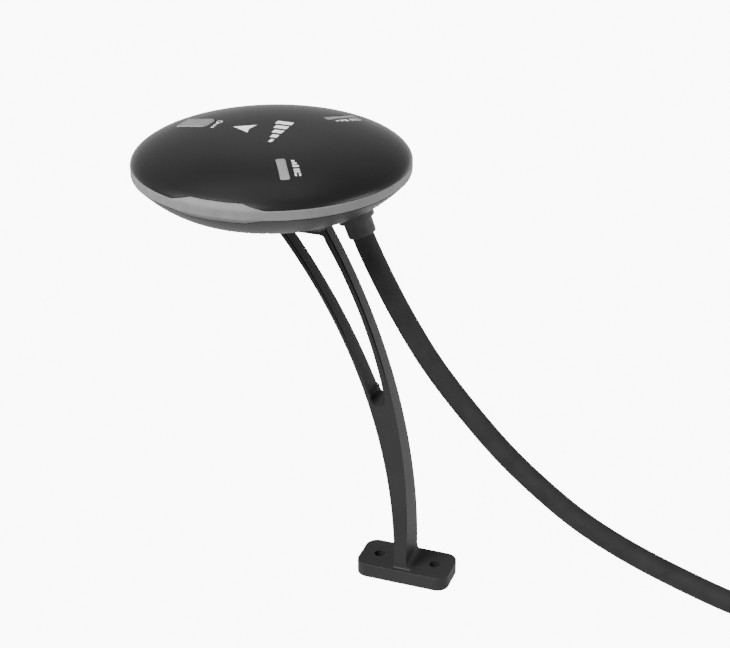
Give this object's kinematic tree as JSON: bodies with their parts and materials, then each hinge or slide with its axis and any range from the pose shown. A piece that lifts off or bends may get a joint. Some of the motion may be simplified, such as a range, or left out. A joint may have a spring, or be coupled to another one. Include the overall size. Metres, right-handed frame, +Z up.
{
  "type": "gnss receiver",
  "caption": "Disc-shaped satellite positioning receiver on a curved forked mast with a two-hole foot, a press button on its dome and a sheathed lead ending in a wire-to-board plug.",
  "frame": {"origin": "centre of the mast foot's underside, midway between its two screw holes", "axes": "+Z up out of the foot, X along the foot through both holes with the disc overhanging to -X and the lead leaving to +X, Y across the foot"},
  "size_m": [0.2026, 0.0935, 0.1041],
  "materials": {
    "cover_black": "satin moulded cover with a soft sheen",
    "ring_diffuser": "frosted translucent light guide",
    "bowl_grey": "satin moulded bowl",
    "seal_rubber": "soft seal",
    "button_grey": "frosted button cap",
    "lamp_lens": "frosted lamp lens",
    "board_green": "solder mask",
    "antenna_ceramic": "fired ceramic",
    "electrode_silver": "silvered",
    "chip_black": "moulded epoxy",
    "can_tin": "tinned steel",
    "plug_white": "natural nylon",
    "lead_colours": "insulated wires",
    "screw_black": "blackened steel",
    "bracket_nylon": "fine-grained moulded nylon",
    "insert_brass": "knurled",
    "collar_rubber": "matt moulded",
    "cable_jacket": "satin extruded jacket",
    "tie_rubber": "soft strap",
    "sleeve_shrink": "shrunk tube",
    "contact_gold": "plated"
  },
  "bodies": {
    "root": {"top_cover": "cover_black", "light_ring": "ring_diffuser", "bottom_cover": "bowl_grey", "housing_seal": "seal_rubber", "fix_window_front": "lamp_lens", "fix_window_rear": "lamp_lens", "main_board": "board_green", "patch_antenna": "antenna_ceramic", "antenna_electrode": "electrode_silver", "antenna_feed": "electrode_silver", "gnss_chip": "chip_black", "shield_can": "can_tin", "compass_chip": "chip_black", "buzzer": "chip_black", "switch_body": "chip_black", "status_leds": "plug_white", "board_header": "plug_white", "inner_plug": "plug_white", "inner_leads": "lead_colours", "cover_screws": "screw_black", "bracket": "bracket_nylon", "bracket_screws": "screw_black", "threaded_inserts": "insert_brass", "cable_collar": "collar_rubber", "cable": "cable_jacket", "cable_coil": "cable_jacket", "cable_tail": "cable_jacket", "cable_tie": "tie_rubber", "lead_sleeve": "sleeve_shrink", "lead_wires": "lead_colours", "plug_housing": "plug_white", "plug_contacts": "contact_gold"},
    "button": {"safety_button": "button_grey"},
    "plunger": {"switch_plunger": "plug_white"}
  },
  "joints": [
    {"name": "safety_press", "type": "slide", "parent": "root", "child": "button", "axis": [0, 0, -1], "range_m": [0, 0.0003], "stiffness_N_per_m": 400, "springref_m": -0.0005},
    {"name": "switch_press", "type": "slide", "parent": "root", "child": "plunger", "axis": [0, 0, -1], "range_m": [0, 0.0003]}
  ],
  "couplings": [
    {"joint": "switch_press", "follows": "safety_press", "ratio": 1}
  ]
}
